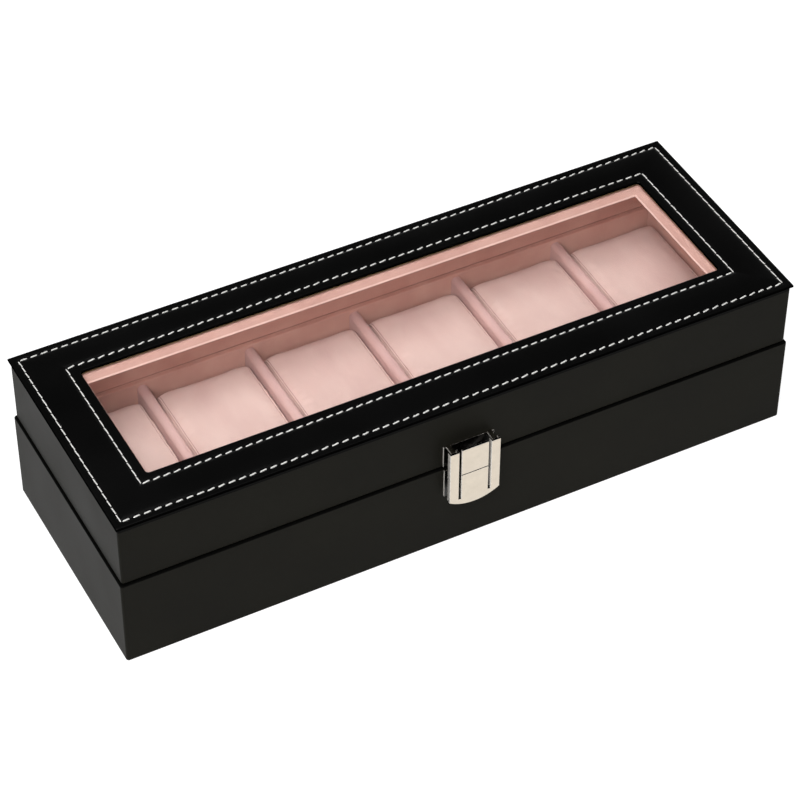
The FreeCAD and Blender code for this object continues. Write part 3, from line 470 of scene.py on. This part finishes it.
def panel_height(x, y):
    """Top of the panel above a point: a crown between the stitch rows, which draw it down."""
    to_side = PANEL_HALF.x - abs(x)
    to_front = PANEL_HALF.y - abs(y)
    inset = min(to_side, to_front)
    along = x if to_front < to_side else y
    level = panel_high.z
    outer, inner = ROW_INSETS
    if outer < inset < inner:
        level += PANEL_CROWN * math.sin(math.pi * (inset - outer) / (inner - outer)) ** CROWN_POWER
    for row in ROW_INSETS:
        draw = math.exp(-((inset - row) / GROOVE_WIDTH) ** 2)
        pucker = PUCKER_DEPTH * math.cos(math.pi * along / STITCH_PITCH) ** 2
        level -= draw * (GROOVE_DEPTH + pucker)
    return level + HIDE_WAVE * noise.noise(Vector((x, y, 0)) / HIDE_CELL)


def round_corner(x, y, half_x, half_y, bend):
    """Move a point of a rectangle's corner onto a quarter circle."""
    over_x = abs(x) - (half_x - bend)
    over_y = abs(y) - (half_y - bend)
    if bend <= 0 or over_x <= 0 or over_y <= 0:
        return x, y
    scale = bend / math.hypot(over_x, over_y)
    return (math.copysign(half_x - bend + over_x * scale, x),
            math.copysign(half_y - bend + over_y * scale, y))


def panel():
    """The leather panel as closed rings from its outer edge to the window and back underneath."""
    form = bmesh.new()
    count_x = round(2 * PANEL_HALF.x / PANEL_STEP)
    count_y = round(2 * PANEL_HALF.y / PANEL_STEP)
    insets = [(0, None)]
    quarter = [math.pi / 2 * step / ROLL_STEPS for step in range(ROLL_STEPS + 1)]
    insets += [(PANEL_ROLL * (1 - math.cos(turn)), PANEL_ROLL * (1 - math.sin(turn))) for turn in quarter]
    count = round((WINDOW_BORDER - 2 * PANEL_ROLL) / RING_STEP)
    flat = (WINDOW_BORDER - 2 * PANEL_ROLL) / count
    insets += [(PANEL_ROLL + flat * index, 0) for index in range(1, count)]
    insets += [(WINDOW_BORDER - PANEL_ROLL * (1 - math.sin(turn)), PANEL_ROLL * (1 - math.cos(turn)))
               for turn in quarter]
    insets.append((WINDOW_BORDER, None))
    rings = []
    for inset, drop in insets:
        ring = []
        half_x = PANEL_HALF.x - inset
        half_y = PANEL_HALF.y - inset
        bend = WINDOW_ROUND - (WINDOW_BORDER - inset) / 2
        for x, y in rectangle_loop(half_x, half_y, count_x, count_y):
            x, y = round_corner(x, y, half_x, half_y, bend)
            level = panel_low.z if drop is None else panel_height(x, y) - drop
            ring.append(form.verts.new((x, y, level)))
        rings.append(ring)
    ring_faces(form, rings + rings[:1])
    fit_window(form)
    piece = show("stitched_panel", form, "top_panel")
    piece.data.materials.append(EDGE_LEATHER)
    for face in piece.data.polygons:
        face.material_index = int(abs(face.normal.z) < EDGE_FACING)
    return piece


STITCH_LENGTH = {"long": 3.4 * MM, "short": 4.7 * MM}
STITCH_THICK = {"long": 1.0, "short": 0.75}
STITCH_LEAN = {"long": 1.0, "short": 0.35}
STITCH_SLANT = math.radians(9)
STITCH_SIDES = 10
STITCH_STEPS = 9
STITCH_DIVE = 0.55 * MM
STITCH_LIFT = 0.12 * MM
PLY_TURNS = 1.5
PLY_DEPTH = 0.16


def stitch(form, centre, along, length, slant, thick):
    """One stitch: a two-ply thread that arches over the leather and dives into its holes."""
    turn = Matrix.Rotation(slant, 3, "Z")
    ahead = turn @ along
    across = Vector((-ahead.y, ahead.x, 0))
    rings = []
    for step in range(STITCH_STEPS + 1):
        share = 2 * step / STITCH_STEPS - 1
        point = centre + ahead * (length / 2 * share)
        point.z = panel_height(point.x, point.y) + STITCH_LIFT - STITCH_DIVE * share ** 6
        ring = []
        for side in range(STITCH_SIDES):
            angle = 2 * math.pi * side / STITCH_SIDES
            ply = 1 - PLY_DEPTH * math.sin(angle - math.pi * PLY_TURNS * share) ** 2
            reach = thick * THREAD_WIDTH / 2 * ply * (1.1 - 0.25 * share ** 4)
            offset = across * (reach * math.cos(angle)) + Vector((0, 0, 0.8 * reach * math.sin(angle)))
            ring.append(form.verts.new(point + offset))
        rings.append(ring)
    ring_faces(form, rings)
    form.faces.new(list(reversed(rings[0])))
    form.faces.new(rings[-1])


def stitch_row(node, draw):
    """All stitches of one row, hole to hole round the rectangle."""
    form = bmesh.new()
    half = ROWS[node]
    corners = [Vector((-half.x, -half.y, 0)), Vector((half.x, -half.y, 0)), Vector((half.x, half.y, 0)),
               Vector((-half.x, half.y, 0))]
    for index in range(4):
        start, end = corners[index], corners[(index + 1) % 4]
        along = (end - start).normalized()
        run = (end - start).length
        count = round(run / STITCH_PITCH)
        kind = "short" if index % 2 else "long"
        for place in range(count):
            centre = start + along * (run * (place + 0.5) / count)
            slant = STITCH_SLANT * STITCH_LEAN[kind] * draw.uniform(0.7, 1.3)
            length = STITCH_LENGTH[kind] * draw.uniform(0.94, 1.06)
            stitch(form, centre, along, length, slant, STITCH_THICK[kind])
    fit_window(form)
    return show(f"{node}_thread", form, node)


# Velvet trim round the window, with a soft lower edge

trim_low, trim_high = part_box("window_trim")
TRIM_LIP = 3.0 * MM
TRIM_THICK = 3.4 * MM
TRIM_FLANGE = 0.4 * MM
TRIM_ROUND = 0.5 * MM
TRIM_LEDGE = 2.8 * MM
TRIM_SWELL = 0.6 * MM
TRIM_FALL = 1.8 * MM
# Half height of the band round the lower arris that takes the painted highlight.
TRIM_HIGHLIGHT_BAND = 0.22 * MM
TRIM_LEFT_NARROW = 2.1 * MM
TRIM_STEPS = 8
TRIM_COUNT = (24, 8)
TRIM_SPLIT = math.radians(50)
TRIM_HALF = WINDOW_HALF - Vector((TRIM_LIP, TRIM_LIP))


def window_trim():
    """A velvet strip folded under the lid's top rails: its padded slope, soft arris and flat flange."""
    reach = trim_high.x - TRIM_HALF.x
    foot, top = trim_low.z, trim_high.z
    profile = []
    for step in range(TRIM_STEPS + 1):
        share = step / TRIM_STEPS
        profile.append((TRIM_LEDGE - (TRIM_LEDGE + TRIM_SWELL) * share, top - TRIM_FALL * share ** 2))
    brow = top - TRIM_FALL - foot
    for step in range(1, ROLL_STEPS + 1):
        turn = math.pi / 2 * step / ROLL_STEPS
        profile.append((TRIM_ROUND * (1 - math.cos(turn)) - TRIM_SWELL, foot + brow * (1 - math.sin(turn))))
    profile += [(reach, foot), (reach, foot + TRIM_FLANGE), (TRIM_THICK, foot + TRIM_FLANGE),
                (TRIM_THICK, top)]
    form = bmesh.new()
    rings = []
    for out, level in profile:
        left = -TRIM_HALF.x - out
        narrow = TRIM_LEFT_NARROW * max(0, TRIM_LEDGE - out) / (TRIM_LEDGE + TRIM_SWELL)
        loop = rectangle_loop(-left, TRIM_HALF.y + out, *TRIM_COUNT)
        rings.append([form.verts.new((x if x > left + TOUCH else left - narrow, y, level)) for x, y in loop])
    ring_faces(form, rings + rings[:1])
    fit_window(form)
    piece = show("window_trim_velvet", form, "window_trim")
    # Painted shade on the trim, and a painted highlight on the faces round the lower arris.
    piece.data.materials[0] = SHADED_TRIM_VELVET
    piece.data.materials.append(FOLD_HIGHLIGHT_VELVET)
    fold = top - TRIM_FALL
    for face in piece.data.polygons:
        face.material_index = int(abs(face.center.z - fold) < TRIM_HIGHLIGHT_BAND)
    crease = piece.modifiers.new("edges", "EDGE_SPLIT")
    crease.split_angle = TRIM_SPLIT
    return piece


# Cushions: a wrapped sleeve with two sewn ends, inflated at ten times its size

SIM_SCALE = 10
SIM_FRAMES = 20
SIM_CAP = 0.7 * MM
CUSHION_STEP = 2.2 * MM
CUSHION_MARGIN = Vector((0.3, 0.5, 0.5)) * MM
CUSHION_ROUND = 5.0 * MM
END_TUCK = 0.9 * MM
END_PUFF = 1.4 * MM
END_RINGS = (0.985, 0.94, 0.86, 0.7, 0.45, 0.2)
SEAM_STRIP = 0.5 * MM
BEND_STEPS = 8
TUCK_POWER = 8
PUFF_POWER = 0.4
CUSHION_WAVE = 0.12 * MM
CUSHION_WAVE_CELL = 11 * MM
CLOTH = {
    "quality": 6,
    "mass": 0.3,
    "tension_stiffness": 12,
    "compression_stiffness": 12,
    "bending_stiffness": 0.6,
    "air_damping": 2,
    "use_pressure": True,
    "uniform_pressure_force": 4,
    "shrink_min": -0.03,
}
WELT_RADIUS = 0.36 * MM
WELT_SIDES = 8


def section(half_y, low, high, bend, count):
    """Points at even steps round a rounded rectangle across the cushion."""
    corners = ((half_y - bend, high - bend, 0), (-half_y + bend, high - bend, 1),
               (-half_y + bend, low + bend, 2), (half_y - bend, low + bend, 3))
    outline = []
    for y, z, quarter in corners:
        for step in range(BEND_STEPS + 1):
            turn = math.pi / 2 * (quarter + step / BEND_STEPS)
            outline.append(Vector((0, y + bend * math.cos(turn), z + bend * math.sin(turn))))
    outline.append(outline[0])
    lengths = [0]
    for first, second in zip(outline, outline[1:]):
        lengths.append(lengths[-1] + (second - first).length)
    points = []
    place = 0
    for index in range(count):
        goal = lengths[-1] * index / count
        while lengths[place + 1] < goal:
            place += 1
        share = (goal - lengths[place]) / (lengths[place + 1] - lengths[place])
        points.append(outline[place].lerp(outline[place + 1], share))
    return points


def cushion_blank(node, draw):
    """The sleeve and end panels before they are stuffed, and the indices of the two seams' points."""
    low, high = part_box(node)
    middle = (low + high) / 2
    half = (high - low) / 2 - CUSHION_MARGIN
    sleeve = half.x - END_PUFF
    count = round(2 * sleeve / CUSHION_STEP)
    shares = [2 * row / count - 1 for row in range(count + 1)]
    strip = SEAM_STRIP / sleeve
    shares = [-1, strip - 1, *shares[1:-1], 1 - strip, 1]
    around = round(2 * (2 * half.y + 2 * half.z) / CUSHION_STEP)
    form = bmesh.new()
    rings = []
    shift = Vector((draw.uniform(0, 9), draw.uniform(0, 9), draw.uniform(0, 9)))
    for share in shares:
        tuck = END_TUCK * share ** TUCK_POWER
        ring = []
        for point in section(half.y - tuck, -half.z + tuck, half.z - tuck, CUSHION_ROUND - tuck, around):
            place = Vector((sleeve * share, point.y, point.z))
            place += noise.noise_vector(place / CUSHION_WAVE_CELL + shift) * CUSHION_WAVE
            ring.append(form.verts.new(place))
        rings.append(ring)
    ring_faces(form, rings)
    seams = []
    bands = [(rings[0], rings[1]), (rings[-1], rings[-2])]
    for ring, way in ((rings[0], -1), (rings[-1], 1)):
        ends = [ring]
        for scale in END_RINGS:
            x = way * (sleeve + END_PUFF * (1 - scale ** 2) ** PUFF_POWER)
            ends.append([form.verts.new((x, vert.co.y * scale, vert.co.z * scale)) for vert in ring])
        ring_faces(form, ends)
        bands.append((ring, ends[1]))
        hub = form.verts.new((way * half.x, 0, 0))
        for index, vert in enumerate(ends[-1]):
            form.faces.new((vert, ends[-1][(index + 1) % len(ring)], hub))
        seams.append(ring)
    for first, second in bands:
        band = {*first, *second}
        for face in {face for vert in first for face in vert.link_faces if band.issuperset(face.verts)}:
            face.material_index = 1
    form.verts.index_update()
    seams = [[vert.index for vert in ring] for ring in seams]
    bmesh.ops.recalc_face_normals(form, faces=form.faces)
    mesh = bpy.data.meshes.new(f"{node}_blank")
    form.to_mesh(mesh)
    form.free()
    return mesh, seams, middle


def stuff(blanks):
    """Inflate all cushions together with cloth simulation, and move their meshes to the result."""
    scene = bpy.context.scene
    bags = []
    for mesh, seams, _ in blanks:
        bag = bpy.data.objects.new("bag", mesh.copy())
        scene.collection.objects.link(bag)
        bag.data.transform(Matrix.Scale(SIM_SCALE, 4))
        pins = bag.vertex_groups.new(name="seams")
        pins.add([index for ring in seams for index in ring], 1.0, "REPLACE")
        cloth = bag.modifiers.new("stuffing", "CLOTH").settings
        for setting, value in CLOTH.items():
            setattr(cloth, setting, value)
        cloth.vertex_group_mass = "seams"
        cloth.effector_weights.gravity = 0
        bags.append(bag)
    for number in range(1, SIM_FRAMES + 1):
        scene.frame_set(number)
    graph = bpy.context.evaluated_depsgraph_get()
    for bag, (mesh, _, _) in zip(bags, blanks):
        blown = bag.evaluated_get(graph).to_mesh()
        normals = [vert.normal.copy() for vert in mesh.vertices]
        for vert, moved, normal in zip(mesh.vertices, blown.vertices, normals):
            swell = (moved.co / SIM_SCALE - vert.co).dot(normal)
            vert.co += normal * max(0, min(SIM_CAP, swell))
    for bag in bags:
        bpy.data.objects.remove(bag)
    scene.frame_set(1)


def welt(form, points):
    """A thin sewn ridge along a closed seam."""
    count = len(points)
    rings = []
    for index in range(count):
        ahead = (points[(index + 1) % count] - points[index - 1]).normalized()
        out = Vector((0, points[index].y, points[index].z)).normalized()
        side = ahead.cross(out).normalized()
        out = side.cross(ahead)
        ring = []
        for step in range(WELT_SIDES):
            turn = 2 * math.pi * step / WELT_SIDES
            offset = out * math.cos(turn) + side * math.sin(turn)
            ring.append(form.verts.new(points[index] + offset * WELT_RADIUS))
        rings.append(ring)
    ring_faces(form, rings + rings[:1])


def cushions():
    """Six stuffed velvet cushions with a welt along each end seam."""
    names = [name for name in sorted(frame["nodes"]) if name.startswith("cushion_")]
    draw = random.Random(6)
    blanks = [cushion_blank(name, draw) for name in names]
    stuff(blanks)
    for name, (mesh, seams, middle) in zip(names, blanks):
        low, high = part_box(name)
        form = bmesh.new()
        form.from_mesh(mesh)
        form.verts.ensure_lookup_table()
        loops = [[form.verts[index].co.copy() for index in ring] for ring in seams]
        bmesh.ops.subdivide_edges(form, edges=form.edges, cuts=1, use_grid_fill=True)
        for points in loops:
            welt(form, points)
        for vert in form.verts:
            place = vert.co + middle
            vert.co = Vector(max(a, min(b, c)) for a, b, c in zip(low, high, place))
        piece = show(f"{name}_stuffed", form, name)
        piece.data.materials.append(SEAM_VELVET)


LINING_LIFT = 0.4 * MM
LINING_EDGE = 0.5 * MM
FLAP_EDGE = 0.1 * MM
FLAP_FRONT_ROUND = 0.4 * MM
SHEET_EDGE = 0.12 * MM
stitch_draw = random.Random(4)
panel()
stitch_row("outer_stitching", stitch_draw)
stitch_row("inner_stitching", stitch_draw)
window_trim()
cushions()
for side in ("front", "back", "left", "right"):
    soften(f"base_{side}_lining", LINING_EDGE, raised=LINING_LIFT)
paint_seam_shade("base_leather")
paint_panel_shadow("lid_leather")
flap = soften("latch_flap", FLAP_EDGE, front_round=FLAP_FRONT_ROUND)
# Flap: plain nickel front, painted shade on its upward faces and crease, and a painted highlight on its edges
# and sides.
dress(flap, EDGE_HIGHLIGHT_NICKEL, LOOKS["nickel"], PAINTED_SHADE_NICKEL, in_flap_shade)
# Plate and strike: fronts painted dark as shade, bevels and other faces painted bright and left edges given
# the half-metal copy, both as painted highlights.
for sheet in ("latch_plate", "latch_strike"):
    dress(soften(sheet, SHEET_EDGE), PAINTED_HIGHLIGHT_NICKEL, PAINTED_SHADE_NICKEL, EDGE_HIGHLIGHT_NICKEL, on_left_edge)
spring()
frame["nodes"]["window_glass"].visible_shadow = False


# Stage, light and camera

FLOOR_RADIUS = 3.2
FLOOR_BEND = 0.4
FLOOR_WALL = 0.8
FLOOR_SIDES = 96
FLOOR_GLOW = 0.93
FLOOR_SHADE = 0.3
FLOOR_COLOUR = 0.8
FLOOR_STEPS = 8


def floor_look():
    """A white floor that shows as white to the camera and in reflections, and still takes a soft shadow."""
    look = bpy.data.materials.new("floor")
    look.use_nodes = True
    tree = look.node_tree
    tree.nodes.remove(tree.nodes["Principled BSDF"])
    path = add_node(look, "ShaderNodeLightPath")
    seen = path.outputs["Is Camera Ray"]
    for ray in ("Is Glossy Ray", "Is Transmission Ray"):
        either = add_node(look, "ShaderNodeMath", operation="MAXIMUM")
        join(look, seen, either.inputs[0])
        join(look, path.outputs[ray], either.inputs[1])
        seen = either.outputs["Value"]
    matt = add_node(look, "ShaderNodeBsdfDiffuse")
    matt.inputs["Color"].default_value = (FLOOR_COLOUR, FLOOR_COLOUR, FLOOR_COLOUR, 1)
    shade = add_node(look, "ShaderNodeBsdfDiffuse")
    shade.inputs["Color"].default_value = (FLOOR_SHADE, FLOOR_SHADE, FLOOR_SHADE, 1)
    glow = add_node(look, "ShaderNodeEmission", Strength=FLOOR_GLOW)
    white = add_node(look, "ShaderNodeAddShader")
    mix = add_node(look, "ShaderNodeMixShader")
    join(look, shade.outputs["BSDF"], white.inputs[0])
    join(look, glow.outputs["Emission"], white.inputs[1])
    join(look, seen, mix.inputs["Fac"])
    join(look, matt.outputs["BSDF"], mix.inputs[1])
    join(look, white.outputs["Shader"], mix.inputs[2])
    join(look, mix.outputs["Shader"], tree.nodes["Material Output"].inputs["Surface"])
    return look


def floor():
    """A round floor that bends up into a low wall, so that every side has the same background."""
    profile = [(FLOOR_RADIUS * step / FLOOR_STEPS, 0) for step in range(1, FLOOR_STEPS + 1)]
    for step in range(1, FLOOR_STEPS + 1):
        turn = math.pi / 2 * step / FLOOR_STEPS
        profile.append((FLOOR_RADIUS + FLOOR_BEND * math.sin(turn), FLOOR_BEND * (1 - math.cos(turn))))
    profile.append((FLOOR_RADIUS + FLOOR_BEND, FLOOR_WALL))
    form = bmesh.new()
    hub = form.verts.new((0, 0, 0))
    rings = []
    for radius, level in profile:
        turns = [2 * math.pi * index / FLOOR_SIDES for index in range(FLOOR_SIDES)]
        rings.append([form.verts.new((radius * math.cos(a), radius * math.sin(a), level)) for a in turns])
    ring_faces(form, rings[::-1])
    for index, vert in enumerate(rings[0]):
        form.faces.new((hub, vert, rings[0][(index + 1) % FLOOR_SIDES]))
    mesh = bpy.data.meshes.new("floor")
    form.to_mesh(mesh)
    form.free()
    for face in mesh.polygons:
        face.use_smooth = True
    mesh.materials.append(floor_look())
    piece = bpy.data.objects.new("floor", mesh)
    bpy.context.scene.collection.objects.link(piece)


def lamp(name, place, width, height, power):
    """A rectangular soft lamp that points at the middle of the box."""
    data = bpy.data.lights.new(name, "AREA")
    data.shape = "RECTANGLE"
    data.size = width
    data.size_y = height
    data.energy = power
    item = bpy.data.objects.new(name, data)
    item.location = place
    aim = Vector((0, 0, cad_high.z / 2)) - Vector(place)
    item.rotation_euler = aim.to_track_quat("-Z", "Y").to_euler()
    bpy.context.scene.collection.objects.link(item)


CAMERA_TARGET = Vector((-7.09, -8.43, 40.53)) * MM
CAMERA_DISTANCE = 1217.4 * MM
CAMERA_AZIMUTH = math.radians(-27.92)
CAMERA_ELEVATION = math.radians(43.38)
CAMERA_ROLL = math.radians(0.287)
CAMERA_LENS = 133.46
CAMERA_SENSOR = 36


def camera():
    """The camera at the photograph's viewing angle."""
    data = bpy.data.cameras.new("camera")
    data.lens = CAMERA_LENS
    data.sensor_width = CAMERA_SENSOR
    item = bpy.data.objects.new("camera", data)
    level = math.cos(CAMERA_ELEVATION)
    back = Vector((math.sin(CAMERA_AZIMUTH) * level, -math.cos(CAMERA_AZIMUTH) * level,
                   math.sin(CAMERA_ELEVATION)))
    item.location = CAMERA_TARGET + back * CAMERA_DISTANCE
    turn = (-back).to_track_quat("-Z", "Y").to_matrix()
    item.rotation_euler = (turn @ Matrix.Rotation(CAMERA_ROLL, 3, "Z")).to_euler()
    bpy.context.scene.collection.objects.link(item)
    bpy.context.scene.camera = item


WORLD_COLOUR = (0.1, 0.1, 0.1, 1)
floor()
lamp("key", (-0.7, -0.8, 1.3), 1.0, 1.0, 14)
lamp("overhead", (-0.3, 0.0, 1.6), 1.2, 1.0, 10.8)
lamp("left", (-1.5, -0.3, 0.8), 0.8, 0.8, 1.6)
world = bpy.data.worlds.new("studio")
world.use_nodes = True
world.node_tree.nodes["Background"].inputs["Color"].default_value = WORLD_COLOUR
bpy.context.scene.world = world
bpy.context.scene.view_settings.view_transform = "Standard"
camera()
